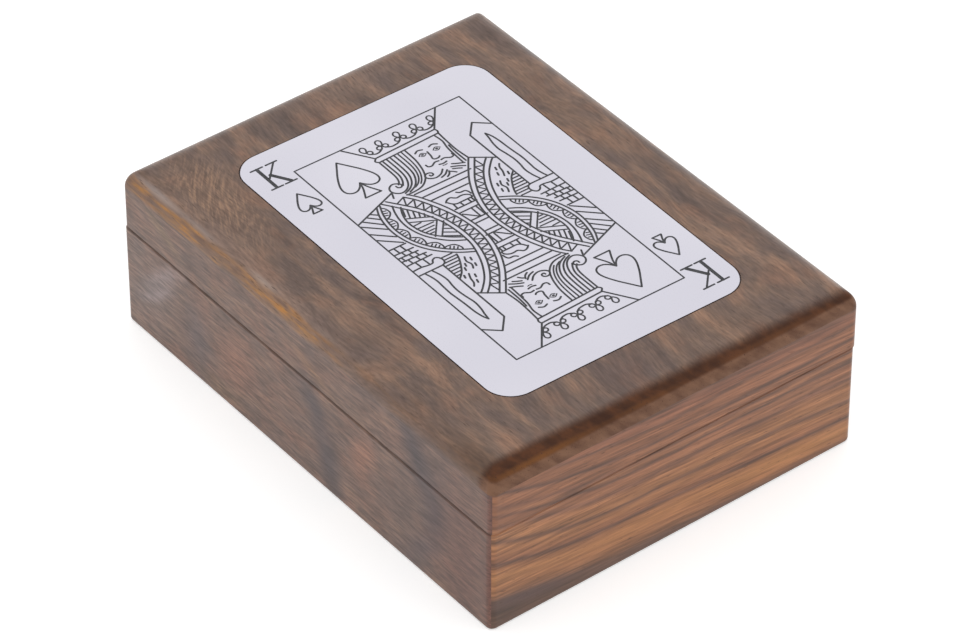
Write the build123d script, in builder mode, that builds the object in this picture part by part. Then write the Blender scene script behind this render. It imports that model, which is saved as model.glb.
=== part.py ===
import os
from math import radians, tan

from build123d import *

# A wooden box for one deck of playing cards. Four mitred boards and a bottom panel make
# the base, four mitred rails and a rounded top panel make the lid, and two small brass
# butt hinges join them at the back. A metal plate the size of a card is let into the top.
# Millimetres. X runs along the box, Y from the front to the hinged back, Z up.
# The origin is the middle of the underside.

# Box
box_length = 118.5
box_width = 90.0
base_height = 24.0
board_thickness = 9.0
corner_radius = 1.5
foot_radius = 0.8
rim_chamfer = 0.3

# Bottom panel, let into a rabbet under the boards, and the felt laid on it
bottom_thickness = 3.0
rabbet_width = 4.0
bottom_clearance = 0.1
felt_thickness = 1.0
felt_corner_radius = 1.0
felt_clearance = 0.4

# Lid, which stands a little to the right of the base
seam_gap = 0.2
lid_shift = 0.3
rail_height = 9.8
top_thickness = 4.5
top_edge_radius = 4.4

# Card plate, set slightly askew in its bed in the top panel
plate_length = 90.0
plate_width = 60.0
plate_thickness = 0.9
plate_corner_radius = 6.0
plate_bevel = 0.1
plate_proud = 0.12
plate_clearance = 0.25
plate_shift_x = -0.6
plate_shift_y = 0.8
plate_turn = -1.0

# Hinges
hinge_inset = 24.25
hinge_length = 20.0
leaf_width = 7.5
leaf_thickness = 0.7
leaf_corner_radius = 0.6
leaf_clearance = 0.1
barrel_radius = 1.5
barrel_clearance = 0.3
knuckle_count = 5
knuckle_gap = 0.15
pin_radius = 0.75
pin_clearance = 0.05

# Countersunk screws, two to a leaf
screw_spacing = 11.0
screw_inset = 3.6
screw_length = 6.0
shank_radius = 0.75
head_radius = 1.5
head_angle = 90.0
slot_width = 0.35
slot_depth = 0.4
screw_clearance = 0.05

# The room inside the boards, and the larger outline of the rabbet under them
inner_length = box_length - 2 * board_thickness
inner_width = box_width - 2 * board_thickness
rabbet_length = inner_length + 2 * rabbet_width
rabbet_breadth = inner_width + 2 * rabbet_width

# Heights of the two rims at the seam, the top panel's faces and the plate's bed
rim_z = base_height
lid_z = rim_z + seam_gap
panel_z = lid_z + rail_height
top_z = panel_z + top_thickness
bed_z = top_z + plate_proud - plate_thickness
seam = Plane.XY.offset(rim_z + seam_gap / 2)

# The hinge pins lie behind the back boards, level with the middle of the seam
back_y = box_width / 2
pin_y = back_y + barrel_clearance + barrel_radius
pin_z = rim_z + seam_gap / 2
left_hinge_x = hinge_inset - box_length / 2
right_hinge_x = box_length / 2 - hinge_inset
knuckle_pitch = (hinge_length + knuckle_gap) / knuckle_count


def screw_places(hinge_x):
    """Middles of the two screw heads in one leaf, in its face at the seam."""
    screw_y = back_y - screw_inset
    return [(hinge_x + side * screw_spacing / 2, screw_y, rim_z) for side in (-1, 1)]


def mitred_board(frame, centre_x, side):
    """One board of a four-sided frame, parted from it by the mitres at its two ends."""
    half_length = box_length / 2
    half_width = box_width / 2
    mitre_x = half_length - half_width
    left_front = (-half_length, -half_width)
    right_front = (half_length, -half_width)
    left_back = (-half_length, half_width)
    right_back = (half_length, half_width)
    outlines = {
        "front": [left_front, right_front, (mitre_x, 0), (-mitre_x, 0)],
        "back": [right_back, left_back, (-mitre_x, 0), (mitre_x, 0)],
        "left": [left_back, left_front, (-mitre_x, 0)],
        "right": [right_front, right_back, (mitre_x, 0)],
    }
    with BuildPart() as board:
        add(frame.part)
        with BuildSketch():
            with Locations((centre_x, 0)):
                Polygon(*outlines[side], align=None)
        extrude(amount=top_z, mode=Mode.INTERSECT)
    return board


def hinge_leaf(hinge_x, in_lid):
    """A leaf with its countersunk holes and every other knuckle round the pin."""
    with BuildPart() as leaf:
        with BuildSketch(Plane.XY.offset(rim_z)) as plate:
            with Locations((hinge_x, back_y)):
                Rectangle(hinge_length, leaf_width, align=(Align.CENTER, Align.MAX))
            fillet(plate.vertices().group_by(Axis.Y)[0], leaf_corner_radius)
        extrude(amount=-leaf_thickness)
        for number in range(1 if in_lid else 0, knuckle_count, 2):
            knuckle_x = hinge_x - hinge_length / 2 + number * knuckle_pitch
            with BuildSketch(Plane.YZ.offset(knuckle_x)):
                with Locations((pin_y, pin_z)):
                    add(knuckle_section.sketch)
            extrude(amount=knuckle_pitch - knuckle_gap)
        with Locations(*screw_places(hinge_x)):
            CounterSinkHole(
                shank_radius + screw_clearance,
                head_radius + screw_clearance,
                counter_sink_angle=head_angle,
            )
        if in_lid:
            mirror(about=seam, mode=Mode.REPLACE)
    return leaf


def hinge_pin(hinge_x):
    """The pin through all the knuckles of one hinge, cut flush with the outer two."""
    with BuildPart() as pin:
        with BuildSketch(Plane.YZ.offset(hinge_x - hinge_length / 2)):
            with Locations((pin_y, pin_z)):
                Circle(pin_radius)
        extrude(amount=hinge_length)
    return pin


def hinge_screws(in_lid):
    """The four screws of both leaves on one side of the seam, heads flush with the leaves."""
    with BuildPart() as screws:
        with Locations(*screw_places(left_hinge_x), *screw_places(right_hinge_x)):
            add(screw.part)
        if in_lid:
            mirror(about=seam, mode=Mode.REPLACE)
    return screws


# ---- Shapes that the hinges and the boards share ----

# Section of a knuckle about its pin: the eye, and a neck that leaves it at a tangent
# underneath and runs to the leaf, level with the leaf's face at the seam.
with BuildSketch() as knuckle_section:
    Circle(barrel_radius)
    with BuildLine():
        leaf_end = -barrel_clearance - barrel_radius
        leaf_face = -seam_gap / 2
        leaf_corner = (leaf_end, leaf_face - leaf_thickness)
        eye = CenterArc((0, 0), barrel_radius, 0, 360, mode=Mode.PRIVATE)
        lowest = lambda lines: lines.sort_by(Axis.Y)[0]
        underside = ConstrainedLines(eye, leaf_corner, selector=lowest)
        touch = underside.vertices().sort_by(Axis.X)[-1]
        Polyline(touch, (0, leaf_face), (leaf_end, leaf_face), leaf_corner)
    make_face()
    Circle(pin_radius + pin_clearance, mode=Mode.SUBTRACT)

# A slotted countersunk screw, its head's face at the origin
with BuildPart() as screw:
    with BuildSketch(Plane.XZ):
        head_depth = (head_radius - shank_radius) / tan(radians(head_angle / 2))
        Polygon(
            (0, 0),
            (head_radius, 0),
            (shank_radius, -head_depth),
            (shank_radius, -screw_length),
            (0, -screw_length),
            align=None,
        )
    revolve(axis=Axis.Z)
    with BuildSketch():
        Rectangle(2 * head_radius, slot_width)
    extrude(amount=-slot_depth, mode=Mode.SUBTRACT)

# What both leaves of the base take out of the back board: their beds and the pilot holes
with BuildPart() as hinge_cuts:
    with BuildSketch(Plane.XY.offset(rim_z)):
        with Locations((left_hinge_x, back_y), (right_hinge_x, back_y)):
            Rectangle(
                hinge_length + 2 * leaf_clearance,
                leaf_width + leaf_clearance,
                align=(Align.CENTER, Align.MAX),
            )
    extrude(amount=-leaf_thickness)
    with BuildSketch(Plane.XY.offset(rim_z)):
        with Locations(*screw_places(left_hinge_x), *screw_places(right_hinge_x)):
            Circle(shank_radius + screw_clearance)
    extrude(amount=-screw_length - screw_clearance)


# ---- Base ----

with BuildPart() as base_frame:
    with BuildSketch():
        RectangleRounded(box_length, box_width, corner_radius)
    extrude(amount=base_height)
    fillet(base_frame.edges().group_by(Axis.Z)[0], foot_radius)
    chamfer(base_frame.edges().group_by(Axis.Z)[-1], rim_chamfer)
    with BuildSketch():
        Rectangle(inner_length, inner_width)
    extrude(amount=base_height, mode=Mode.SUBTRACT)
    rim = base_frame.faces().sort_by(Axis.Z)[-1]
    chamfer(rim.inner_wires()[0].edges(), rim_chamfer)
    with BuildSketch():
        Rectangle(rabbet_length, rabbet_breadth)
    extrude(amount=bottom_thickness, mode=Mode.SUBTRACT)
    add(hinge_cuts.part, mode=Mode.SUBTRACT)

base_front_board = mitred_board(base_frame, 0, "front")
base_back_board = mitred_board(base_frame, 0, "back")
base_left_board = mitred_board(base_frame, 0, "left")
base_right_board = mitred_board(base_frame, 0, "right")

with BuildPart() as bottom_panel:
    with BuildSketch():
        Rectangle(rabbet_length - 2 * bottom_clearance, rabbet_breadth - 2 * bottom_clearance)
    extrude(amount=bottom_thickness)

with BuildPart() as base_felt:
    with BuildSketch(Plane.XY.offset(bottom_thickness)):
        RectangleRounded(
            inner_length - 2 * felt_clearance,
            inner_width - 2 * felt_clearance,
            felt_corner_radius,
        )
    extrude(amount=felt_thickness)


# ---- Lid ----

with BuildPart() as lid_frame:
    with BuildSketch(Plane.XY.offset(lid_z)):
        with Locations((lid_shift, 0)):
            RectangleRounded(box_length, box_width, corner_radius)
    extrude(amount=rail_height)
    chamfer(lid_frame.edges().group_by(Axis.Z)[0], rim_chamfer)
    with BuildSketch(Plane.XY.offset(lid_z)):
        with Locations((lid_shift, 0)):
            Rectangle(inner_length, inner_width)
    extrude(amount=rail_height, mode=Mode.SUBTRACT)
    rim = lid_frame.faces().sort_by(Axis.Z)[0]
    chamfer(rim.inner_wires()[0].edges(), rim_chamfer)
    mirror(hinge_cuts.part, about=seam, mode=Mode.SUBTRACT)

lid_front_rail = mitred_board(lid_frame, lid_shift, "front")
lid_back_rail = mitred_board(lid_frame, lid_shift, "back")
lid_left_rail = mitred_board(lid_frame, lid_shift, "left")
lid_right_rail = mitred_board(lid_frame, lid_shift, "right")

with BuildPart() as top_panel:
    with BuildSketch(Plane.XY.offset(panel_z)):
        with Locations((lid_shift, 0)):
            Rectangle(box_length, box_width)
    extrude(amount=top_thickness)
    fillet(top_panel.edges().group_by(Axis.Z)[-1], top_edge_radius)
    upright_corners = top_panel.edges().filter_by(Axis.Z)
    mitred_corners = top_panel.edges().filter_by(GeomType.ELLIPSE)
    fillet(upright_corners + mitred_corners, corner_radius)
    with BuildSketch(Plane.XY.offset(bed_z)):
        with Locations((lid_shift + plate_shift_x, plate_shift_y)):
            RectangleRounded(
                plate_length + 2 * plate_clearance,
                plate_width + 2 * plate_clearance,
                plate_corner_radius + plate_clearance,
                rotation=plate_turn,
            )
    extrude(amount=plate_thickness, mode=Mode.SUBTRACT)

with BuildPart() as card_plate:
    with BuildSketch(Plane.XY.offset(bed_z)):
        with Locations((lid_shift + plate_shift_x, plate_shift_y)):
            RectangleRounded(plate_length, plate_width, plate_corner_radius, rotation=plate_turn)
    extrude(amount=plate_thickness)
    chamfer(card_plate.edges().group_by(Axis.Z)[-1], plate_bevel)


# ---- Hinges ----

left_hinge_base_leaf = hinge_leaf(left_hinge_x, in_lid=False)
left_hinge_lid_leaf = hinge_leaf(left_hinge_x, in_lid=True)
left_hinge_pin = hinge_pin(left_hinge_x)

right_hinge_base_leaf = hinge_leaf(right_hinge_x, in_lid=False)
right_hinge_lid_leaf = hinge_leaf(right_hinge_x, in_lid=True)
right_hinge_pin = hinge_pin(right_hinge_x)

base_hinge_screws = hinge_screws(in_lid=False)
lid_hinge_screws = hinge_screws(in_lid=True)


# ---- One file for each piece ----

pieces = {
    "base_front_board": base_front_board,
    "base_back_board": base_back_board,
    "base_left_board": base_left_board,
    "base_right_board": base_right_board,
    "bottom_panel": bottom_panel,
    "base_felt": base_felt,
    "lid_front_rail": lid_front_rail,
    "lid_back_rail": lid_back_rail,
    "lid_left_rail": lid_left_rail,
    "lid_right_rail": lid_right_rail,
    "top_panel": top_panel,
    "card_plate": card_plate,
    "left_hinge_base_leaf": left_hinge_base_leaf,
    "left_hinge_lid_leaf": left_hinge_lid_leaf,
    "left_hinge_pin": left_hinge_pin,
    "right_hinge_base_leaf": right_hinge_base_leaf,
    "right_hinge_lid_leaf": right_hinge_lid_leaf,
    "right_hinge_pin": right_hinge_pin,
    "base_hinge_screws": base_hinge_screws,
    "lid_hinge_screws": lid_hinge_screws,
}

os.makedirs("parts", exist_ok=True)
for name, piece in pieces.items():
    piece.part.label = name
    export_step(piece.part, f"parts/{name}.step")
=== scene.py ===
import math
from collections import Counter, defaultdict

import bmesh
import bpy
from mathutils import Matrix, Vector
from mathutils.geometry import delaunay_2d_cdt


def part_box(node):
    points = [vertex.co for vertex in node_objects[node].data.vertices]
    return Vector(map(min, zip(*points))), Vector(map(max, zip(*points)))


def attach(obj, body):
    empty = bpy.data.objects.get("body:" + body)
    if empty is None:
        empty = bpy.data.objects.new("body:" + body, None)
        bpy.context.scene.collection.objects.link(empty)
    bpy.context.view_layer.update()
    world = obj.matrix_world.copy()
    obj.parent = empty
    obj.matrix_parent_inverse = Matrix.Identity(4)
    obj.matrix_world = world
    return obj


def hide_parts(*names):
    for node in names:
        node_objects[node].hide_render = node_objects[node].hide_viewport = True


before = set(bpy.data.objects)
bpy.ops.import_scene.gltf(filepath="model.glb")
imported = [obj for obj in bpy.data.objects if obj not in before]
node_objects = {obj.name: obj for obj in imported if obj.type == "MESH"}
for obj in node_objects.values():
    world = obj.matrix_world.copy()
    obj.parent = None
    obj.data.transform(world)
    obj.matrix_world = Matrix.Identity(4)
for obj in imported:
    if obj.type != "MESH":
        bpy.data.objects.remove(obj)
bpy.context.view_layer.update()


# ---- Long boards of the base and the lid ----
# Sheesham, an Indian rosewood, in boards 9 mm thick, mitred at the corners. The box is glued up
# whole and then sawn open, so the figure of a face runs on across the seam. These faces are cut
# near the quarter: grey-brown, with cloudy dark figure and short open pores along the board.

def linear(hex_colour):
    """An sRGB hex colour as linear RGBA."""
    channels = [int(hex_colour[i:i + 2], 16) / 255 for i in (1, 3, 5)]
    return [c / 12.92 if c <= 0.04045 else ((c + 0.055) / 1.055) ** 2.4 for c in channels] + [1.0]


def add_node(tree, kind, inputs=None, stops=(), **settings):
    """Add a node with its settings. An input is a value, a socket, or a node for its output."""
    node = tree.nodes.new(kind)
    for name, value in settings.items():
        setattr(node, name, value)
    for socket, value in (inputs or {}).items():
        if isinstance(value, bpy.types.Node):
            value = next(output for output in value.outputs if output.enabled)
        if isinstance(value, bpy.types.NodeSocket):
            tree.links.new(value, node.inputs[socket])
        else:
            node.inputs[socket].default_value = value
    if stops:
        elements = node.color_ramp.elements
        elements[0].position = stops[0][0]
        elements[-1].position = stops[-1][0]
        for position, colour in stops[1:-1]:
            elements.new(position)
        for element, (position, colour) in zip(elements, stops):
            element.color = linear(colour)
    return node


def new_material(name):
    """An empty material, its tree, and the object's own coordinates in millimetres."""
    material = bpy.data.materials.new(name)
    material.use_nodes = True
    tree = material.node_tree
    tree.nodes.clear()
    coordinates = add_node(tree, "ShaderNodeTexCoord")
    place = add_node(tree, "ShaderNodeVectorMath",
                     {0: coordinates.outputs["Object"], 1: (1000, 1000, 1000)}, operation="MULTIPLY")
    return material, tree, place


def grain(tree, place, cell, turn=(0, 0, 0), detail=3.0, seed=0.0):
    """Noise whose cells measure cell = (x, y, z) mm, turned by some degrees about each axis."""
    drawn = add_node(tree, "ShaderNodeMapping",
                     {"Vector": place, "Rotation": [math.radians(angle) for angle in turn],
                      "Location": (seed * 17, seed * 11, seed * 5), "Scale": cell},
                     vector_type="TEXTURE")
    return add_node(tree, "ShaderNodeTexNoise",
                    {"Vector": drawn, "Scale": 1.0, "Detail": detail, "Roughness": 0.5})


def wandering(tree, place, reach, cell):
    """The same coordinates, moved about by up to reach mm over cell mm."""
    # a channel of the noise keeps to about a third either side of its middle, hence the 3
    slow = add_node(tree, "ShaderNodeTexNoise", {"Vector": place, "Scale": 1 / cell, "Detail": 0.5})
    bend = add_node(tree, "ShaderNodeVectorMath", {0: slow.outputs["Color"], 1: (0.5, 0.5, 0.5)},
                    operation="SUBTRACT")
    return add_node(tree, "ShaderNodeVectorMath", {0: bend, 1: (3 * reach,) * 3, 2: place},
                    operation="MULTIPLY_ADD")


def mottled(tree, place, ground, cell, warm, cool):
    """Wood with patches of two more colours in cells of (x, y, z) mm: (colour, strength) each."""
    patches = grain(tree, place, cell, detail=4.0, seed=9.0)
    for (colour, strength), full_at in ((warm, 0.68), (cool, 0.32)):
        share = add_node(tree, "ShaderNodeMapRange",
                         {"Value": patches, "From Min": 0.5, "From Max": full_at, "To Max": strength})
        ground = add_node(tree, "ShaderNodeMix", {0: share, 6: ground, 7: linear(colour)},
                          data_type="RGBA")
    return ground


def combed(tree, ground, fibres, tones, strength):
    """Wood made paler and darker along its fibres. A tone of #bcbcbc changes nothing."""
    tone = add_node(tree, "ShaderNodeValToRGB", {0: fibres}, stops=tones)
    return add_node(tree, "ShaderNodeMix", {0: strength, 6: ground, 7: tone},
                    data_type="RGBA", blend_type="OVERLAY")


def porous(tree, ground, noise, colour, first=0.63, full=0.85):
    """Wood with dark pores where the noise is high, and how much of a pore each place is."""
    pores = add_node(tree, "ShaderNodeMapRange", {"Value": noise, "From Min": first, "From Max": full})
    return add_node(tree, "ShaderNodeMix", {0: pores, 6: ground, 7: linear(colour)},
                    data_type="RGBA"), pores


def paint_clouds(tree, place, ground, clouds):
    """Lay soft-edged spots on a ground colour: (centre, size, turn, colour, strength) each."""
    for centre, size, turn, colour, strength in clouds:
        turned = add_node(tree, "ShaderNodeMapping",
                          {"Vector": place, "Location": centre, "Scale": size,
                           "Rotation": [math.radians(angle) for angle in turn]}, vector_type="TEXTURE")
        reach = add_node(tree, "ShaderNodeVectorMath", {0: turned}, operation="LENGTH")
        spot = add_node(tree, "ShaderNodeMapRange",
                        {"Value": reach.outputs["Value"], "From Min": 1.15, "From Max": 0.0,
                         "To Min": 0.0, "To Max": strength}, interpolation_type="SMOOTHSTEP")
        ground = add_node(tree, "ShaderNodeMix", {0: spot, 6: ground, 7: linear(colour)},
                          data_type="RGBA")
    return ground


def satin_finish(tree, colour, pores, roughness=0.4, gloss=0.5):
    """Rubbed satin lacquer over the wood: the pores stay 0.08 mm open, and dull."""
    dull = add_node(tree, "ShaderNodeMapRange",
                    {"Value": pores, "To Min": roughness, "To Max": roughness + 0.2})
    bump = add_node(tree, "ShaderNodeBump", {"Height": pores, "Strength": 0.35, "Distance": 0.00008},
                    invert=True)
    shader = add_node(tree, "ShaderNodeBsdfPrincipled",
                      {"Base Color": colour, "Roughness": dull, "IOR": 1.45, "Normal": bump,
                       "Specular IOR Level": gloss})
    add_node(tree, "ShaderNodeOutputMaterial", {"Surface": shader})


def cover(material, *names):
    """Lay a material on CAD nodes, in place of what they came with."""
    for name in names:
        node_objects[name].data.materials.clear()
        node_objects[name].data.materials.append(material)


# bands of pale and dark wood with a fine streak along the board, in colours taken down a little
# because the satin lacquer adds a haze of its own
long_boards, tree, place = new_material("sheesham_quarter_cut_satin")
bent = wandering(tree, place, 2.0, 20.0)
streaks = grain(tree, bent, (11, 2.0, 2.0), detail=4.0)
ground = add_node(tree, "ShaderNodeValToRGB", {0: streaks},
                  stops=[(0.30, "#6b5348"), (0.5, "#775d51"), (0.70, "#846858")])
patchy = mottled(tree, bent, ground, (7, 4.5, 4.5), warm=("#916551", 0.3), cool=("#5e504e", 0.3))
figure_and_painted_sheen = paint_clouds(tree, bent, patchy, (
    # the first three clouds, pale and grey at the left of the front, are a painted highlight; the rest
    # are figure
    ((-52, -45, 12), (14, 20, 16), (0, 0, 0), "#84736c", 0.45),
    ((-46, -45, 18), (14, 20, 3.0), (0, -36, 0), "#96898a", 0.5),
    ((-49, -45, 13), (11, 20, 2.0), (0, -30, 0), "#938586", 0.5),
    ((-45, -45, 31), (10, 20, 2.5), (0, 28, 0), "#8e7458", 0.45),
    ((-35, -45, 10), (6.5, 20, 14), (0, 4, 0), "#5f5455", 0.65),
    ((-22, -45, 13), (8, 20, 9), (0, 0, 0), "#946854", 0.7),
    ((-28, -45, 3), (12, 20, 3), (0, 0, 0), "#87683f", 0.25),
    ((5, -45, 19), (5, 20, 11), (0, -24, 0), "#504546", 0.85),
    ((9, -45, 7), (6, 20, 11), (0, -10, 0), "#4d4345", 0.85),
    ((5, -45, 29), (10, 20, 2.0), (0, 25, 0), "#8f6c4f", 0.45),
    ((20, -45, 16), (4.5, 20, 9), (0, 8, 0), "#996b56", 0.75),
    ((34, -45, 13), (12, 20, 14), (0, 0, 0), "#64514a", 0.6),
    ((40, -45, 26), (16, 20, 12), (0, 0, 0), "#5f4c47", 0.55),
    ((36, -45, 29), (4.8, 20, 11), (0, -34, 0), "#4b4042", 0.85),
    ((42, -45, 18), (5.6, 20, 12), (0, -6, 0), "#4a3f42", 0.85),
    ((38, -45, 6), (5, 20, 11), (0, 48, 0), "#54474a", 0.65),
    ((51, -45, 14), (13, 20, 28), (0, 0, 0), "#6c4a40", 0.75),
    ((59.5, -45, 18), (3.0, 20, 40), (0, 0, 0), "#6b4238", 0.9)))
fibres = grain(tree, place, (3.5, 0.45, 0.45), seed=3.0)
fibrous = combed(tree, figure_and_painted_sheen, fibres, [(0.3, "#868686"), (0.5, "#bcbcbc"), (0.7, "#e6e6e6")], 0.7)
# pores: dashes 2 mm long, drawn 0.25 mm wide, a little wider than real, so that they show
pore_noise = grain(tree, place, (2.2, 0.25, 0.25), detail=1.0, seed=11.0)
open_wood, pores = porous(tree, fibrous, pore_noise, "#4b3a33")
# painted shade darkens the edges along the seam, over a quarter of a millimetre
seam_height = 24.1
front_face = 45.0
axes = add_node(tree, "ShaderNodeSeparateXYZ", {0: place})
from_seam = add_node(tree, "ShaderNodeMath", {0: axes.outputs["Z"], 1: seam_height},
                     operation="SUBTRACT")
seam_reach = add_node(tree, "ShaderNodeMath", {0: from_seam}, operation="ABSOLUTE")
near_seam = add_node(tree, "ShaderNodeMapRange",
                     {"Value": seam_reach, "From Min": 0.35, "From Max": 0.12, "To Max": 0.8})
# the painted shade lies only on the outside, not on the rims inside
from_middle = add_node(tree, "ShaderNodeMath", {0: axes.outputs["Y"]}, operation="ABSOLUTE")
outside = add_node(tree, "ShaderNodeMapRange",
                   {"Value": from_middle, "From Min": front_face - 0.5, "From Max": front_face - 0.1})
seam_painted_shade = add_node(tree, "ShaderNodeMath", {0: near_seam, 1: outside}, operation="MULTIPLY")
colour = add_node(tree, "ShaderNodeMix", {0: seam_painted_shade, 6: open_wood, 7: linear("#3c2c27")},
                  data_type="RGBA")
satin_finish(tree, colour, pores)

cover(long_boards, "base_front_board", "base_back_board", "lid_front_rail", "lid_back_rail")


# ---- End boards of the base and the lid ----
# The same wood cut on the flat, with the yearly rings running out across the end of the box:
# orange-brown bands 2 to 4 mm wide between thin dark lines that fall towards the back.

end_boards, tree, place = new_material("sheesham_striped_satin")
axes = add_node(tree, "ShaderNodeSeparateXYZ", {0: place})
along = axes.outputs["Y"]
# the rings climb towards the front corner, and the low ones fall a little towards the back
climb = add_node(tree, "ShaderNodeMapRange",
                 {"Value": along, "From Min": -8.0, "From Max": -46.0})
curve = add_node(tree, "ShaderNodeMath", {0: climb, 1: 1.5}, operation="POWER")
fall = add_node(tree, "ShaderNodeMapRange",
                {"Value": along, "From Min": -4.0, "From Max": 45.0, "To Max": 4.0})
lowness = add_node(tree, "ShaderNodeMapRange",
                   {"Value": axes.outputs["Z"], "From Min": 22.0, "From Max": 9.0})
fallen = add_node(tree, "ShaderNodeMath", {0: fall, 1: lowness, 2: axes.outputs["Z"]},
                  operation="MULTIPLY_ADD")
steepness = add_node(tree, "ShaderNodeMapRange", {"Value": lowness, "To Min": -8.2, "To Max": -5.5})
level = add_node(tree, "ShaderNodeMath", {0: curve, 1: steepness, 2: fallen}, operation="MULTIPLY_ADD")
# the rings wander by half a millimetre
waver = grain(tree, place, (40, 18, 6), detail=4.0, seed=2.0)
waver_mm = add_node(tree, "ShaderNodeMath", {0: waver, 1: 2.2, 2: level}, operation="MULTIPLY_ADD")
# the ramp below covers 40 mm of height from 2 mm under the table; 1.1 is the waver's middle
ring_place = add_node(tree, "ShaderNodeMapRange",
                      {"Value": waver_mm, "From Min": 1.1 - 2, "From Max": 1.1 + 38})
rings = add_node(tree, "ShaderNodeValToRGB", {0: ring_place},
                 stops=[((height + 2) / 40, colour) for height, colour in (
                     (-1.0, "#5e4538"), (2.0, "#6c4f41"), (3.2, "#8c6145"), (5.0, "#9f6c49"),
                     (7.6, "#aa754c"), (9.4, "#9a6847"), (10.3, "#66483b"), (11.2, "#946346"),
                     (13.4, "#a36f4a"), (14.5, "#74513f"), (15.4, "#a26f4b"), (17.2, "#a26e4b"),
                     (18.4, "#7d5643"), (19.6, "#9a684a"), (20.7, "#966448"), (21.4, "#694a3c"),
                     (22.4, "#9b694a"), (23.6, "#785240"), (24.6, "#976548"), (25.9, "#9a674a"),
                     (26.7, "#65473a"), (27.6, "#946348"), (29.6, "#956347"), (30.5, "#755140"),
                     (31.4, "#915f46"), (32.6, "#845742"), (34.0, "#73503e"))])
threads = grain(tree, place, (4, 14, 0.6), turn=(-4, 0, 0), detail=5.0, seed=5.0)
striped = combed(tree, rings, threads, [(0.34, "#8c8c8c"), (0.5, "#bcbcbc"), (0.66, "#e2e2e2")], 0.7)
striped = paint_clouds(tree, place, striped, (
    ((59, -36, 5), (20, 16, 2.6), (-9, 0, 0), "#5b4743", 0.8),
    ((59, -26, 24.6), (20, 6, 1.3), (-6, 0, 0), "#563d34", 0.7),
    ((59, -8, 7.5), (20, 26, 3), (-2, 0, 0), "#b47b4e", 0.45),
    ((59, 28, 5), (20, 24, 2.8), (-2, 0, 0), "#b9804f", 0.6),
    ((59, -43, 28), (20, 16, 5), (0, 0, 0), "#8c5e48", 0.4),
    ((59, 30, 20), (20, 12, 2), (-3, 0, 0), "#7a563f", 0.4),
    ((59, -46, 18), (20, 1.6, 40), (0, 0, 0), "#5f3d33", 0.8),
    ((59, 0, 0), (20, 200, 2.6), (0, 0, 0), "#6c5143", 0.8)))
fibres = grain(tree, place, (3, 6, 0.35), turn=(-4, 0, 0), detail=2.0, seed=3.0)
fibrous = combed(tree, striped, fibres, [(0.3, "#a6a6a6"), (0.7, "#d0d0d0")], 0.5)
pore_noise = grain(tree, place, (2, 2.2, 0.25), turn=(-4, 0, 0), detail=1.0, seed=11.0)
colour, pores = porous(tree, fibrous, pore_noise, "#4b3227", first=0.66)
satin_finish(tree, colour, pores)

cover(end_boards, "base_left_board", "base_right_board", "lid_left_rail", "lid_right_rail")


# ---- Bottom panel ----
# Plain straight-grained sheesham 3 mm thick, glued flush into a rabbet under the base. It is
# only oiled, so it is duller than the outside of the box.

bottom_wood, tree, place = new_material("sheesham_straight_oiled")
streaks = grain(tree, place, (70, 2.5, 2.5), detail=4.0, seed=7.0)
ground = add_node(tree, "ShaderNodeValToRGB", {0: streaks},
                  stops=[(0.3, "#5e473b"), (0.5, "#755a4b"), (0.7, "#866755")])
pore_noise = grain(tree, place, (2.2, 0.25, 0.25), detail=1.0, seed=12.0)
colour, pores = porous(tree, ground, pore_noise, "#453228", first=0.6, full=0.7)
satin_finish(tree, colour, pores, roughness=0.55)
cover(bottom_wood, "bottom_panel")


# ---- Top panel ----
# A wider board of the same wood, glued on the rails and rounded over: reddish brown with flame
# figure at the front, golden where the round cuts a paler layer, and dark end grain at the ends.

top_wood, tree, place = new_material("sheesham_figured_satin")
bent = wandering(tree, place, 2.2, 22.0)
streaks = grain(tree, bent, (16, 3.2, 3.2), detail=5.0, seed=1.0)
ground = add_node(tree, "ShaderNodeValToRGB", {0: streaks},
                  stops=[(0.3, "#5c483f"), (0.44, "#6e584d"), (0.56, "#7b6253"), (0.72, "#987660")])
# where the fibres turn, at the left of the front, they show as a flame of pale and dark hairs
hairs = grain(tree, bent, (5, 0.5, 0.5), turn=(0, 0, -32), detail=4.0, seed=8.0)
flame = add_node(tree, "ShaderNodeValToRGB", {0: hairs},
                 stops=[(0.34, "#6a5041"), (0.5, "#7f6351"), (0.66, "#9f7c62")])
turned = add_node(tree, "ShaderNodeMapping",
                  {"Vector": bent, "Location": (-38, -36, 38), "Scale": (22, 9, 20),
                   "Rotation": (0, 0, math.radians(-6))}, vector_type="TEXTURE")
from_flame = add_node(tree, "ShaderNodeVectorMath", {0: turned}, operation="LENGTH")
in_flame = add_node(tree, "ShaderNodeMapRange",
                    {"Value": from_flame.outputs["Value"], "From Min": 1.1, "From Max": 0.3,
                     "To Max": 0.8}, interpolation_type="SMOOTHSTEP")
patchy = mottled(tree, bent, ground, (10, 6.0, 6.0), warm=("#976c53", 0.45), cool=("#60504d", 0.5))
flamed = add_node(tree, "ShaderNodeMix", {0: in_flame, 6: patchy, 7: flame}, data_type="RGBA")
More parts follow.
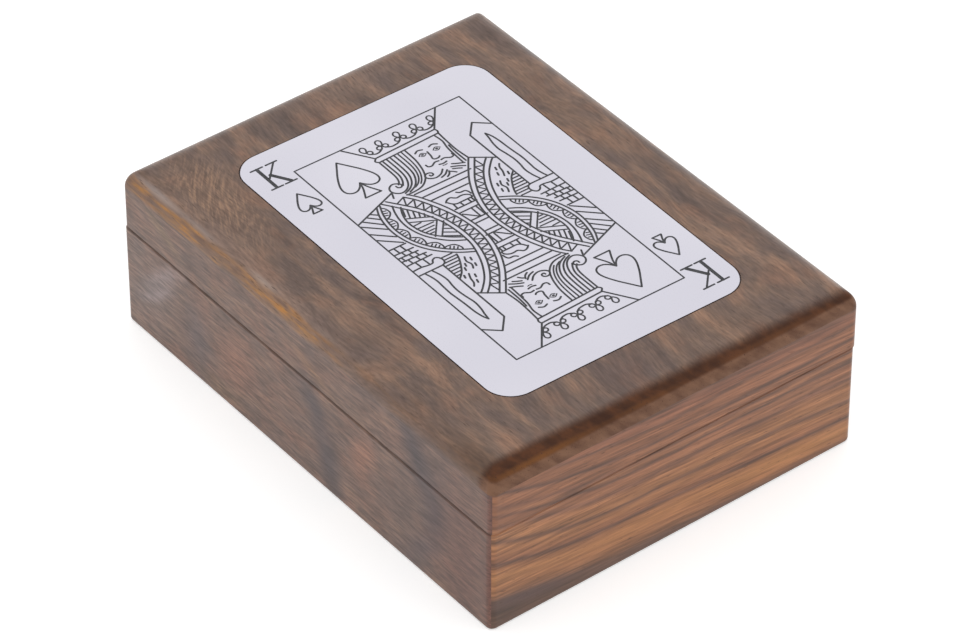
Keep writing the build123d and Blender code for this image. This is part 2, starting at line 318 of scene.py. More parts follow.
figure_and_painted_sheen = paint_clouds(tree, bent, flamed, (
    ((-56, 10, 38), (8, 40, 20), (0, 0, 0), "#836a5c", 0.6),
    ((-52, -13, 38), (8, 10, 20), (0, 0, 0), "#5a4943", 0.55),
    ((-12, -36, 38), (12, 4, 20), (0, 0, -8), "#5f4b42", 0.5),
    ((12, -37, 38), (16, 3, 20), (0, 0, 4), "#8d6c56", 0.4),
    ((34, -40, 38), (16, 5, 20), (0, 0, 0), "#5f4a40", 0.4),
    ((50, -6, 38), (9, 12, 20), (0, 0, 0), "#65504b", 0.5),
    ((51, 18, 38), (6, 16, 20), (0, 0, 0), "#7f634f", 0.4),
    ((5, 39, 38), (40, 4, 20), (0, 0, 2), "#5f4a40", 0.35),
    ((-20, 36, 38), (24, 2.5, 20), (0, 0, -3), "#8b6a52", 0.4),
    # this pale band along the front round is a painted sheen
    ((-14, -44, 38), (46, 4.5, 6), (0, 0, 0), "#947b6e", 0.6),
    ((54, -44, 38), (14, 6, 8), (0, 0, 0), "#58402f", 0.75),
    ((30, -45, 35), (32, 2.5, 4), (0, 0, 0), "#5f4a43", 0.75)))
fibres = grain(tree, bent, (3, 0.45, 0.45), seed=3.0)
fibrous = combed(tree, figure_and_painted_sheen, fibres, [(0.3, "#969696"), (0.5, "#bcbcbc"), (0.7, "#dcdcdc")], 0.6)
axes = add_node(tree, "ShaderNodeSeparateXYZ", {0: place})
# the front round is golden on its left half and browner towards the right corner
gold_streaks = grain(tree, place, (7, 0.9, 0.9), detail=4.0, seed=4.0)
gold = add_node(tree, "ShaderNodeValToRGB", {0: gold_streaks},
                stops=[(0.34, "#755643"), (0.45, "#916b4c"), (0.54, "#a67643"), (0.64, "#c2812f")])
on_round = add_node(tree, "ShaderNodeMapRange",
                    {"Value": axes.outputs["Y"], "From Min": -43.1, "From Max": -44.1},
                    interpolation_type="SMOOTHSTEP")
above = add_node(tree, "ShaderNodeMapRange",
                 {"Value": axes.outputs["Z"], "From Min": 34.0, "From Max": 34.9},
                 interpolation_type="SMOOTHSTEP")
left_half = add_node(tree, "ShaderNodeMapRange",
                     {"Value": axes.outputs["X"], "From Min": 14.0, "From Max": 0.0,
                      "To Min": 0.15, "To Max": 0.9})
patches = grain(tree, place, (9, 1.6, 1.6), detail=3.0, seed=13.0)
broken = add_node(tree, "ShaderNodeMapRange",
                  {"Value": patches, "From Min": 0.36, "From Max": 0.6, "To Min": 0.35, "To Max": 0.9})
broken_half = add_node(tree, "ShaderNodeMath", {0: left_half, 1: broken}, operation="MULTIPLY")
gold_here = add_node(tree, "ShaderNodeMath", {0: on_round, 1: above}, operation="MULTIPLY")
gold_share = add_node(tree, "ShaderNodeMath", {0: gold_here, 1: broken_half}, operation="MULTIPLY")
golden = add_node(tree, "ShaderNodeMix", {0: gold_share, 6: fibrous, 7: gold}, data_type="RGBA")
# just behind the front round a paler line is painted on as a highlight, most at the left
painted_ridge_highlight = paint_clouds(tree, place, golden, (
    ((-48, -43.4, 38), (12, 0.9, 3), (0, 0, 0), "#a69791", 0.7),
    ((-34, -43.4, 38), (7, 0.8, 3), (0, 0, 0), "#a5968f", 0.45),
    ((-14, -43.3, 38), (6, 0.8, 3), (0, 0, 0), "#ae9b90", 0.6),
    ((6, -43.4, 38), (6, 0.7, 3), (0, 0, 0), "#9d887c", 0.3)))
# end grain, where the lines of the rings lean across the end
end_lines = grain(tree, place, (3, 6, 1.8), turn=(-40, 0, 0), detail=4.0, seed=6.0)
# on the round the end grain is darker than on the end face below it: partly its own darker tone, partly
# a painted dark reflection
dark_end_and_painted_reflection = add_node(tree, "ShaderNodeValToRGB", {0: end_lines},
                    stops=[(0.34, "#43291d"), (0.5, "#4f3121"), (0.66, "#603b26")])
pale_end = add_node(tree, "ShaderNodeValToRGB", {0: end_lines},
                    stops=[(0.34, "#664737"), (0.66, "#84614c")])
low = add_node(tree, "ShaderNodeMapRange",
               {"Value": axes.outputs["Z"], "From Min": 36.9, "From Max": 36.2},
               interpolation_type="SMOOTHSTEP")
end_grain = add_node(tree, "ShaderNodeMix", {0: low, 6: dark_end_and_painted_reflection, 7: pale_end}, data_type="RGBA")
# a thin amber line under the dark, strongest near the front corner
end_grain = paint_clouds(tree, place, end_grain, (
    ((58.9, -33, 36.9), (3, 18, 0.7), (0, 0, 0), "#85552d", 0.7),
    ((58.9, -8, 36.9), (3, 12, 0.6), (0, 0, 0), "#73492a", 0.6),
    ((58.9, 24, 36.9), (3, 18, 0.6), (0, 0, 0), "#70472b", 0.5)))
# it reaches further over the top at the front corner than at the back
leaning = add_node(tree, "ShaderNodeMath", {0: axes.outputs["Y"], 1: -0.02, 2: axes.outputs["X"]},
                   operation="MULTIPLY_ADD")
right_end = add_node(tree, "ShaderNodeMapRange",
                     {"Value": leaning, "From Min": 55.2, "From Max": 57.6},
                     interpolation_type="SMOOTHSTEP")
left_end = add_node(tree, "ShaderNodeMapRange",
                    {"Value": axes.outputs["X"], "From Min": -57.0, "From Max": -58.6},
                    interpolation_type="SMOOTHSTEP")
at_end = add_node(tree, "ShaderNodeMath", {0: right_end, 1: left_end}, operation="ADD")
ended = add_node(tree, "ShaderNodeMix", {0: at_end, 6: painted_ridge_highlight, 7: end_grain}, data_type="RGBA")
pore_noise = grain(tree, place, (2.4, 0.28, 0.28), detail=1.0, seed=11.0)
colour, pores = porous(tree, ended, pore_noise, "#463229")
# the end grain drinks the lacquer and stays duller
gloss = add_node(tree, "ShaderNodeMapRange", {"Value": at_end, "To Min": 0.5, "To Max": 0.15})
satin_finish(tree, colour, pores, roughness=0.36, gloss=gloss)
cover(top_wood, "top_panel")


# ---- Felt in the base ----
# Green wool baize 1 mm thick, cut with a knife and laid on the bottom panel. The cut edge is
# a little soft, and the nap is short and matt.

felt_low, felt_high = [Vector(corner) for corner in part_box("base_felt")]
felt_middle = (felt_low + felt_high) / 2
felt_size = felt_high - felt_low


def rounded_outline(half_x, half_y, corner, steps, drawn_in=0.0):
    """A rectangle with round corners, anticlockwise, drawn in by some distance all round."""
    points = []
    for turn, side_x, side_y in ((0, 1, 1), (90, -1, 1), (180, -1, -1), (270, 1, -1)):
        for step in range(steps + 1):
            angle = math.radians(turn + step * 90 / steps)
            points.append((side_x * (half_x - corner) + (corner - drawn_in) * math.cos(angle),
                           side_y * (half_y - corner) + (corner - drawn_in) * math.sin(angle)))
    return points


felt_corner = 0.001
felt_mesh = bmesh.new()
# each ring: how far it is drawn in from the outline, and its height in the cloth
felt_rings = []
for drawn_in, height in ((0.0, 0.0), (0.0, 0.0008), (0.0002, 0.001)):
    outline = rounded_outline(felt_size.x / 2, felt_size.y / 2, felt_corner, 4, drawn_in)
    felt_rings.append([felt_mesh.verts.new((felt_middle.x + x, felt_middle.y + y, felt_low.z + height))
                       for x, y in outline])
for lower, upper in zip(felt_rings, felt_rings[1:]):
    for i in range(len(lower)):
        j = (i + 1) % len(lower)
        felt_mesh.faces.new((lower[i], lower[j], upper[j], upper[i]))
felt_mesh.faces.new(felt_rings[-1])
felt_mesh.faces.new(list(reversed(felt_rings[0])))
felt_data = bpy.data.meshes.new("base_felt_cloth")
felt_mesh.to_mesh(felt_data)
felt_cloth = bpy.data.objects.new("base_felt_cloth", felt_data)
bpy.context.collection.objects.link(felt_cloth)

# the nap is drawn in tufts of 0.6 mm, coarser than real, so that it shows
wool_baize, tree, place = new_material("wool_baize_napped")
nap = add_node(tree, "ShaderNodeTexNoise", {"Vector": place, "Scale": 1 / 0.6, "Detail": 3.0})
nap_colour = add_node(tree, "ShaderNodeValToRGB", {0: nap}, stops=[(0.3, "#1d4a33"), (0.7, "#2c6446")])
nap_bump = add_node(tree, "ShaderNodeBump", {"Height": nap, "Strength": 0.5, "Distance": 0.0003})
shader = add_node(tree, "ShaderNodeBsdfPrincipled",
                  {"Base Color": nap_colour, "Roughness": 0.95, "Sheen Weight": 0.4, "Normal": nap_bump})
add_node(tree, "ShaderNodeOutputMaterial", {"Surface": shader})
felt_data.materials.append(wool_baize)
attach(felt_cloth, "base")
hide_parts("base_felt")


# ---- Hinges and their screws ----
# Two small brass butt hinges let into the back boards, with countersunk slotted brass screws.
# Rolled and drawn brass, left bright: warm yellow, slightly uneven from handling.

brass, tree, place = new_material("rolled_brass_bright")
handling = add_node(tree, "ShaderNodeTexNoise", {"Vector": place, "Scale": 1 / 4.0, "Detail": 4.0})
brass_colour = add_node(tree, "ShaderNodeValToRGB", {0: handling},
                        stops=[(0.3, "#b8934e"), (0.7, "#d2ae68")])
brass_rough = add_node(tree, "ShaderNodeMapRange", {"Value": handling, "To Min": 0.2, "To Max": 0.4})
shader = add_node(tree, "ShaderNodeBsdfPrincipled",
                  {"Base Color": brass_colour, "Metallic": 1.0, "Roughness": brass_rough})
add_node(tree, "ShaderNodeOutputMaterial", {"Surface": shader})
cover(brass, "left_hinge_base_leaf", "left_hinge_lid_leaf", "left_hinge_pin",
      "right_hinge_base_leaf", "right_hinge_lid_leaf", "right_hinge_pin",
      "base_hinge_screws", "lid_hinge_screws")


# ---- Card plate ----
# White metal sheet 0.9 mm thick, cut to the size of a card and polished with a fine cloth wheel.
# Near-white with a cool cast, and the faint unevenness of hand polishing.

plate_metal, tree, place = new_material("white_metal_polished")
polish = add_node(tree, "ShaderNodeTexNoise", {"Vector": place, "Scale": 1 / 1.6, "Detail": 3.0})
plate_tone = add_node(tree, "ShaderNodeTexNoise", {"Vector": place, "Scale": 1 / 30, "Detail": 1.0})
plate_colour = add_node(tree, "ShaderNodeValToRGB", {0: plate_tone},
                        stops=[(0.3, "#e2e0eb"), (0.7, "#e8e6f0")])
plate_bump = add_node(tree, "ShaderNodeBump", {"Height": polish, "Strength": 0.15, "Distance": 0.00002})
shader = add_node(tree, "ShaderNodeBsdfPrincipled",
                  {"Base Color": plate_colour, "Metallic": 1.0, "Roughness": 0.22, "Normal": plate_bump})
add_node(tree, "ShaderNodeOutputMaterial", {"Surface": shader})


# ---- Engraving on the card plate ----
# A court card cut in fine lines with a rotary graver and filled with black lacquer. One half is
# drawn here in millimetres on the card, right and up from its middle. The tree below turns each
# stroke into a flat line with round ends, and repeats the half upside down. The lines are then
# cut out of the plate's top and sunk, so the plate is one closed mesh with real grooves.

cut_points = []
cut_edges = []
cut_widths = []
cut_soft = []
cut_round = []


def engrave(*points, width=0.42, soft=False, closed=False):
    """Cut one stroke through its points. A soft one bends smoothly, others are straight cuts."""
    runs = [points] if soft else list(zip(points, points[1:]))
    for run in runs:
        first = len(cut_points)
        last = first + len(run) - 1
        cut_points.extend((right, up, 0.0) for right, up in run)
        cut_edges.extend((number, number + 1) for number in range(first, last))
        cut_widths.extend([width] * len(run))
        cut_soft.extend([soft] * len(run))
        cut_round.extend(not closed and number in (first, last) for number in range(first, last + 1))
        if closed:
            cut_edges.append((last, first))


# frame of the picture
engrave((-20.3, -36.1), (-20.3, 36.1), (20.3, 36.1), width=0.36)

# index letter
engrave((-25.9, 34.2), (-25.9, 41.0), width=0.8)
engrave((-27.3, 41.1), (-24.5, 41.1), width=0.45)
engrave((-27.2, 33.9), (-24.5, 33.9), width=0.45)
engrave((-25.5, 37.1), (-21.9, 41.0), width=0.42)
engrave((-23.7, 41.1), (-21.1, 41.1), width=0.45)
engrave((-24.7, 38.0), (-22.3, 34.1), width=0.85)
engrave((-23.9, 33.9), (-21.2, 33.9), width=0.45)

# the two spades
spade_side = ((0, 0), (1.3, -2.0), (2.7, -4.2), (3.8, -6.4), (4.2, -8.0), (3.9, -9.2), (2.9, -9.85),
              (1.7, -9.7), (0.7, -8.9), (0, -7.9))
for tip_right, tip_up, size in ((-12.1, 33.3, 1.0), (-24.0, 30.0, 0.57)):
    for side in (-1, 1):
        engrave(*((tip_right + side * size * x, tip_up + size * y) for x, y in spade_side), soft=True)
        engrave((tip_right, tip_up - 7.9 * size), (tip_right + side * 0.6 * size, tip_up - 9.9 * size),
                (tip_right + side * 1.9 * size, tip_up - 12.5 * size), soft=True)
    foot_up = tip_up - 12.5 * size
    engrave((tip_right - 1.9 * size, foot_up), (tip_right + 1.9 * size, foot_up))

# crown: flared sides, a band, and five trefoils joined by scallops
engrave((-9.2, 36.1), (-5.2, 29.9))
engrave((9.9, 30.4), (14.3, 36.1))
engrave((-5.0, 29.8), (9.9, 30.4))
engrave((-5.2, 28.3), (9.8, 29.0))
engrave((-5.0, 29.8), (-5.7, 29.0), (-5.2, 28.3), soft=True)
engrave((9.9, 30.4), (10.1, 29.7), (9.8, 29.0), soft=True)
trefoils = [(middle, 31.0 + 0.03 * (middle + 6)) for middle in (-5.6, -1.7, 2.8, 7.0, 11.3)]
for middle, foot in trefoils:
    engrave((middle, foot + 1.3), (middle - 0.6, foot + 2.1), (middle - 0.45, foot + 2.9),
            (middle + 0.15, foot + 3.2), (middle + 0.65, foot + 2.7), (middle + 0.5, foot + 1.9),
            width=0.38, soft=True, closed=True)
    # the outermost lobes are cut off by the flared sides
    for side in (-1, 1):
        if -6 < middle + side < 12:
            engrave((middle + side * 0.15, foot + 1.2), (middle + side * 0.85, foot + 1.45),
                    (middle + side * 1.3, foot + 0.95), (middle + side * 1.0, foot + 0.4),
                    (middle + side * 0.4, foot + 0.55), width=0.38, soft=True, closed=True)
for (left, left_foot), (right, right_foot) in zip(trefoils, trefoils[1:]):
    engrave((left + 0.4, left_foot + 0.5), (left + 1.4, left_foot - 0.05),
            ((left + right) / 2, (left_foot + right_foot) / 2 - 0.15),
            (right - 1.3, right_foot - 0.05), (right - 0.4, right_foot + 0.5), soft=True)

# hair: long strands swept to the left, one into a curl, and three lines on the right
engrave((-5.25, 28.3), (-5.25, 25.0), (-5.35, 22.5), (-5.8, 21.0), (-6.4, 20.3), soft=True)
engrave((-4.5, 28.4), (-4.45, 25.0), (-4.5, 22.6), (-5.0, 20.9), (-5.8, 19.6), soft=True)
engrave((-3.5, 28.4), (-3.5, 24.5), (-3.8, 21.6), (-4.7, 19.4), (-5.9, 18.2), (-7.3, 17.8),
        (-8.4, 18.4), (-8.9, 19.5), (-8.4, 20.6), (-7.3, 21.1), (-6.3, 20.6), (-5.9, 19.9),
        (-6.4, 19.4), (-7.0, 19.6), (-7.1, 20.2), soft=True)
engrave((-2.6, 28.4), (-2.6, 24.5), (-2.9, 21.5), (-3.9, 19.3), (-5.3, 18.0), (-6.9, 17.3), soft=True)
engrave((-1.6, 28.5), (-1.6, 24.5), (-1.9, 21.6), (-2.8, 19.5), (-4.1, 18.0), (-5.9, 17.1), soft=True)
engrave((-0.7, 28.5), (-0.7, 24.8), (-1.0, 22.1), (-1.8, 19.9), (-3.0, 18.4), (-4.2, 17.7), width=0.38,
        soft=True)
engrave((0.2, 28.5), (0.1, 25.0), (-0.2, 22.6), (-0.8, 20.6), (-1.7, 19.0), (-2.6, 18.0), width=0.36,
        soft=True)
engrave((1.1, 28.5), (1.0, 25.0), (0.6, 22.6), (0.0, 20.6), (-1.0, 18.7), (-2.8, 17.2),
        (-4.9, 16.7), (-7.0, 16.7), soft=True)
engrave((8.7, 28.7), (8.9, 26.4), (8.4, 24.0), (8.2, 21.0), (8.1, 18.3), soft=True)
engrave((9.1, 24.6), (8.9, 22.0), (8.9, 18.6), soft=True)
engrave((9.8, 28.9), (9.6, 26.0), (9.5, 22.5), (9.8, 19.2), soft=True)

# face: a plain calm one, the same on both sides of its middle line
face_middle = 4.8
for side in (-1, 1):
    engrave((face_middle + side * 2.7, 26.3), (face_middle + side * 1.8, 26.8),
            (face_middle + side * 0.8, 26.5), soft=True)
    engrave((face_middle + side * 2.6, 25.1), (face_middle + side * 1.75, 25.7),
            (face_middle + side * 0.85, 25.1), width=0.28, soft=True)
    engrave((face_middle + side * 2.3, 24.9), (face_middle + side * 1.75, 24.6),
            (face_middle + side * 1.1, 24.9), width=0.26, soft=True)
    engrave((face_middle + side * 1.7, 25.15), (face_middle + side * 1.8, 25.15), width=0.6)
    # moustache
    engrave((face_middle + side * 0.3, 21.7), (face_middle + side * 1.2, 21.8),
            (face_middle + side * 2.3, 21.2), (face_middle + side * 3.1, 21.4),
            (face_middle + side * 3.2, 22.1), soft=True)
engrave((4.4, 25.4), (4.25, 24.0), (4.0, 23.0), (4.4, 22.6), (5.2, 22.6), (5.6, 22.9), soft=True)
engrave((3.9, 20.7), (4.8, 20.5), (5.7, 20.7), soft=True)
engrave((4.3, 20.0), (4.8, 19.9), (5.3, 20.0), width=0.26, soft=True)

# beard: a curl on the left and short whiskers
engrave((3.5, 19.1), (2.4, 18.1), (1.0, 17.7), (-0.2, 18.1), (-0.75, 18.9), (-0.4, 19.6),
        (0.4, 19.8), (1.05, 19.4), (1.0, 18.8), (0.4, 18.7), (0.3, 19.1), soft=True)
for whisker in (((1.8, 17.1), (3.0, 17.5), (4.1, 18.4)), ((2.9, 16.6), (3.7, 17.1), (4.2, 17.9)),
                ((4.3, 17.6), (4.7, 17.3), (5.2, 16.7)), ((5.2, 18.0), (6.0, 17.6), (6.8, 17.1)),
                ((5.3, 18.7), (6.6, 18.1), (7.8, 17.3)), ((6.0, 19.4), (7.0, 18.8), (8.3, 18.2))):
    engrave(*whisker, soft=True)

# collar, and the clasp below it
for up, left, right in ((15.9, -5.7, 8.0), (14.2, -4.9, 6.2), (12.4, -4.2, 5.1), (7.3, -2.2, 3.0),
                        (5.9, -2.1, 2.5), (2.7, -1.7, 2.2), (1.5, -1.6, 1.7)):
    engrave((left, up), (right, up))
engrave((-2.4, 10.1), (-1.7, 10.7), (-0.8, 10.9), (-0.2, 10.4), (0.3, 10.1), (1.3, 10.2),
        (2.2, 10.0), (2.9, 9.4), (3.0, 8.7), soft=True)
engrave((-2.1, 9.9), (-1.6, 9.1), (-0.8, 8.6), (0.6, 8.6), (2.8, 8.6), soft=True)
engrave((1.2, 11.6), (1.8, 11.1), (2.9, 11.0), (3.3, 10.4), (3.4, 9.6), soft=True)
for left, left_up, right, right_up in (
        (-1.5, 8.8, -1.6, 7.4), (-0.1, 8.5, 0.0, 7.4), (1.8, 8.5, 1.8, 7.4), (2.6, 8.4, 2.6, 7.4),
        (0.6, 5.8, 0.6, 2.8), (1.7, 5.8, 1.7, 2.8), (-1.9, 5.3, 0.3, 2.9)):
    engrave((left, left_up), (right, right_up))

# shoulders
engrave((-20.3, 14.7), (-9.0, 19.0))
engrave((9.8, 19.1), (14.2, 15.8))
engrave((-9.0, 19.0), (-9.7, 17.4))

# the long ribbon: two double edges with a zigzag between, from one shoulder to the other
ribbon_edges = (
    ((-6.9, 16.8), (-5.6, 14.9), (-4.4, 12.3), (-3.3, 9.5), (-2.5, 6.5), (-2.0, 3.5), (-1.7, 0),
     (-1.9, -3), (-2.5, -6), (-3.6, -9.2), (-5.4, -12.8), (-7.4, -15.8), (-9.8, -19.0)),
    ((-8.0, 16.6), (-6.6, 14.6), (-5.4, 12), (-4.3, 9), (-3.4, 6), (-2.9, 3), (-2.7, 0),
     (-2.9, -3), (-3.6, -6), (-4.8, -9.2), (-6.6, -12.6), (-8.6, -15.4), (-10.8, -18.3)),
    ((-11.6, 17.5), (-9.6, 14.7), (-7.8, 12), (-6.4, 9), (-5.5, 6), (-5.0, 3), (-4.85, 0),
     (-5.1, -3), (-5.7, -6), (-7.0, -9.5), (-8.9, -12.8), (-10.8, -15.2), (-12.7, -17.0)),
    ((-12.7, 17.3), (-10.7, 14.4), (-8.8, 11.5), (-7.4, 8.5), (-6.4, 5.5), (-6.0, 2.5), (-5.9, 0),
     (-6.1, -3), (-6.9, -6), (-8.2, -9.3), (-10.2, -12.7), (-12.3, -15.0), (-13.7, -16.2)))
for edge in ribbon_edges:
    engrave(*edge, soft=True)


def point_on(line, up):
    """The place on a falling line at one height."""
    for (x0, y0), (x1, y1) in zip(line, line[1:]):
        if y1 <= up <= y0:
            return (x0 + (x1 - x0) * (up - y0) / (y1 - y0), up)


teeth = 20
first_tooth, last_tooth = 16.5, -16.0
zigzag = []
for tooth in range(teeth):
    height = first_tooth - tooth * (first_tooth - last_tooth) / (teeth - 1)
    # the teeth stand square to the ribbon, which leans more towards its ends
    lean = height * 0.055
    zigzag.append(point_on(ribbon_edges[2], height - lean))
    zigzag.append(point_on(ribbon_edges[1], height + lean - 0.83))
engrave(*zigzag, width=0.37)

# the scalloped ribbon round the almond: double edges, and scallops with three ticks each
outer_edge = ((-13.3, 17.1), (-14.4, 14.5), (-15.1, 11.5), (-15.3, 8.5), (-14.9, 5.6), (-14.1, 3.2),
              (-12.8, 0.9), (-11.0, -1.3), (-8.8, -3.2), (-6.6, -4.6))
engrave(*outer_edge, soft=True)
engrave((-14.2, 16.9), (-15.3, 14.5), (-16.0, 11.5), (-16.2, 8.5), (-15.8, 5.5), (-14.9, 2.7),
        (-13.5, 0.2), (-11.6, -2.0), (-9.4, -3.9), (-7.0, -5.4), soft=True)
engrave((-11.4, 15.6), (-12.2, 13.6), (-12.8, 11.2), (-12.95, 8.8), (-12.6, 6.4), (-11.8, 4.2),
        (-10.4, 2.0), (-8.5, 0.0), (-6.2, -1.5), soft=True)
engrave((-10.3, 14.3), (-11.2, 12.6), (-11.85, 10.6), (-12.0, 8.7), (-11.7, 6.6), (-11.0, 4.6),
        (-9.7, 2.7), (-8.0, 1.0), (-6.1, -0.4), soft=True)
scallop_ends = [point_on(outer_edge, up) for up in (16.4, 13.0, 9.2, 5.4, 1.9, -1.1, -3.5)]
for (x0, y0), (x1, y1) in zip(scallop_ends, scallop_ends[1:]):
    chord = Vector((x1 - x0, y1 - y0))
    inward = Vector((-chord.y, chord.x)).normalized()
    start = Vector((x0, y0))
    bulge = []
    for share, height in ((0.0, 0.0), (0.12, 0.75), (0.5, 1.35), (0.88, 0.75), (1.0, 0.0)):
        spot = start + chord * share + inward * height
        bulge.append((spot.x, spot.y))
    engrave(*bulge, width=0.38, soft=True)
    for share in (0.3, 0.5, 0.7):
        foot = start + chord * share + inward * 0.1
        tick = foot + inward * (0.75 if share == 0.5 else 0.6)
        engrave((foot.x, foot.y), (tick.x, tick.y), width=0.34)

# inside the almond: two crossing straps and the hatching round them
for left, left_up, right, right_up in (
        (-11.5, 10.7, -7.0, 8.2), (-11.9, 9.5, -7.3, 7.0),
        (-6.9, 7.0, -10.3, 2.9), (-6.1, 5.9, -9.2, 2.2),
        (-10.5, 13.4, -11.3, 11.4), (-9.8, 12.9, -10.8, 10.5), (-9.1, 12.0, -9.9, 10.0),
        (-8.4, 11.0, -9.1, 9.5), (-7.8, 10.0, -8.3, 9.0),
        (-11.9, 8.0, -10.0, 8.1), (-11.9, 6.9, -7.9, 6.8), (-11.6, 5.9, -8.4, 5.9),
        (-11.2, 5.0, -9.0, 5.0), (-10.7, 4.2, -9.6, 4.2),
        (-7.0, 4.9, -6.2, 4.3), (-7.7, 4.1, -6.1, 2.9), (-8.4, 3.2, -6.1, 1.5), (-9.0, 2.2, -6.2, 0.2)):
    engrave((left, left_up), (right, right_up), width=0.38)

# sleeve of the left arm: slanting hatch
for left, left_up, right, right_up in (
        (-20.2, 8.8, -16.4, 5.2), (-20.2, 11.1, -16.4, 7.4), (-20.2, 14.0, -16.3, 10.2),
        (-19.1, 15.2, -16.1, 11.9), (-17.6, 15.7, -15.7, 13.6), (-16.4, 16.1, -15.2, 14.9)):
    engrave((left, left_up), (right, right_up))

# fur and hatch of the right sleeve
engrave((13.5, 13.8), (12.9, 12.9), (12.6, 11.5), (12.0, 10.1), soft=True)
engrave((10.3, 9.3), (9.8, 8.1), (10.1, 6.8), (9.6, 5.5), soft=True)
for right, up in ((12.0, 12.9), (11.3, 11.3), (13.2, 10.4), (9.2, 8.6), (10.9, 7.6), (8.9, 6.7),
                  (11.7, 8.6)):
    engrave((right - 0.12, up - 0.4), (right + 0.12, up + 0.4), width=0.45)
engrave((14.3, 10.3), (12.9, 9.0), (11.6, 7.0), (10.7, 5.2), (10.3, 3.9), soft=True)
for up, left, right in ((9.3, 13.3, 14.3), (8.4, 12.4, 14.3), (7.5, 12.0, 14.3), (6.6, 11.4, 14.3),
                        (5.7, 11.0, 14.2), (4.8, 10.6, 13.9), (4.0, 10.3, 13.4), (3.1, 10.9, 13.6)):
    engrave((left, up), (right, up), width=0.4)

# sword: blade, its hollow, and the guard with a round end
engrave((14.4, 5.1), (14.4, 24.5), (17.2, 27.7), (20.3, 25.0))
engrave((17.2, 23.3), (16.9, 21.6), (16.5, 19.9), (16.3, 17.7), (16.6, 15.4), (16.8, 13.2),
        (16.7, 11.2), (16.4, 9.2), (16.6, 7.1), (17.1, 5.2), soft=True)
engrave((17.2, 23.3), (17.7, 21.9), (18.0, 19.8), (18.1, 17.1), (18.25, 14.9), (18.4, 12.7),
        (18.3, 10.2), (18.2, 8.4), (18.4, 6.6), (18.8, 5.1), soft=True)
engrave((14.4, 5.0), (20.3, 5.0))
engrave((14.5, 5.0), (13.8, 4.7), (13.4, 3.9), (13.6, 2.9), (14.3, 2.3), (15.1, 2.6),
        (15.6, 3.3), (16.6, 3.4), (18.3, 3.1), (20.3, 3.2), soft=True)

# cuff: bricks below the guard
for up, left, right, drop in ((1.1, 14.2, 20.3, 0.1), (-0.1, 14.7, 20.3, -0.3), (-1.5, 15.6, 20.3, -0.1),
                              (-2.8, 15.8, 20.3, -0.1), (-4.75, 16.2, 20.3, 0.0)):
    engrave((left, up), (right, up + drop))
for up, low, places in ((3.1, 1.2, (16.3, 18.1)), (1.1, -0.2, (15.2, 16.9, 18.7)),
                        (-0.2, -1.5, (16.2, 17.6, 19.4)), (-1.5, -2.9, (16.9, 18.4)),
                        (-2.9, -4.7, (17.4, 18.9))):
    for right in places:
        engrave((right, up), (right + 0.15, low))

stroke_mesh = bpy.data.meshes.new("engraved_strokes")
stroke_mesh.from_pydata(cut_points, cut_edges, [])
for name, kind, values in (("width", "FLOAT", cut_widths), ("soft", "BOOLEAN", cut_soft),
                           ("round", "BOOLEAN", cut_round)):
    stroke_mesh.attributes.new(name, kind, "POINT").data.foreach_set("value", values)
stroke_object = bpy.data.objects.new("engraved_strokes", stroke_mesh)
bpy.context.collection.objects.link(stroke_object)

black_fill, tree, place = new_material("black_lacquer_rubbed_in")
# rubbed thin in places, so it is a dark grey and never quite even
wear = add_node(tree, "ShaderNodeTexNoise", {"Vector": place, "Scale": 1 / 1.5, "Detail": 2.0})
fill_colour = add_node(tree, "ShaderNodeValToRGB", {0: wear}, stops=[(0.3, "#2e2e31"), (0.7, "#48484c")])
shader = add_node(tree, "ShaderNodeBsdfPrincipled", {"Base Color": fill_colour, "Roughness": 0.6})
add_node(tree, "ShaderNodeOutputMaterial", {"Surface": shader})

strokes = bpy.data.node_groups.new("engraved_strokes", "GeometryNodeTree")
stroke_inputs = {name: strokes.interface.new_socket(name, in_out="INPUT", socket_type=kind)
                 for name, kind in (("Strokes", "NodeSocketGeometry"), ("Line scale", "NodeSocketFloat"),
                                    ("Lacquer", "NodeSocketMaterial"))}
strokes.interface.new_socket("Lines", in_out="OUTPUT", socket_type="NodeSocketGeometry")
given = add_node(strokes, "NodeGroupInput")
soft = add_node(strokes, "GeometryNodeInputNamedAttribute", {"Name": "soft"}, data_type="BOOLEAN")
width = add_node(strokes, "GeometryNodeInputNamedAttribute", {"Name": "width"}, data_type="FLOAT")
ends = add_node(strokes, "GeometryNodeInputNamedAttribute", {"Name": "round"}, data_type="BOOLEAN")
scaled = add_node(strokes, "ShaderNodeMath", {0: width, 1: given.outputs["Line scale"]},
                  operation="MULTIPLY")
curves = add_node(strokes, "GeometryNodeMeshToCurve", {"Mesh": given.outputs["Strokes"]})
smooth = add_node(strokes, "GeometryNodeCurveSplineType", {"Curve": curves, "Selection": soft},
                  spline_type="CATMULL_ROM")
fine = add_node(strokes, "GeometryNodeSetSplineResolution", {"Geometry": smooth, "Resolution": 5})
flat = add_node(strokes, "GeometryNodeSetCurveNormal", {"Curve": fine}, mode="Z_UP")
blade = add_node(strokes, "GeometryNodeCurvePrimitiveLine", {"Start": (-0.5, 0, 0), "End": (0.5, 0, 0)})
bands = add_node(strokes, "GeometryNodeCurveToMesh",
                 {"Curve": flat, "Profile Curve": blade, "Scale": scaled})
dot = add_node(strokes, "GeometryNodeMeshCircle", {"Vertices": 8, "Radius": 0.5}, fill_type="NGON")
dots = add_node(strokes, "GeometryNodeInstanceOnPoints",
                {"Points": given.outputs["Strokes"], "Selection": ends, "Instance": dot,
                 "Scale": scaled})
half = add_node(strokes, "GeometryNodeJoinGeometry", {"Geometry": bands})
strokes.links.new(dots.outputs[0], half.inputs[0])
upside_down = add_node(strokes, "GeometryNodeTransform", {"Geometry": half, "Rotation": (0, 0, math.pi)})
whole = add_node(strokes, "GeometryNodeJoinGeometry", {"Geometry": half})
strokes.links.new(upside_down.outputs[0], whole.inputs[0])
real = add_node(strokes, "GeometryNodeRealizeInstances", {"Geometry": whole})
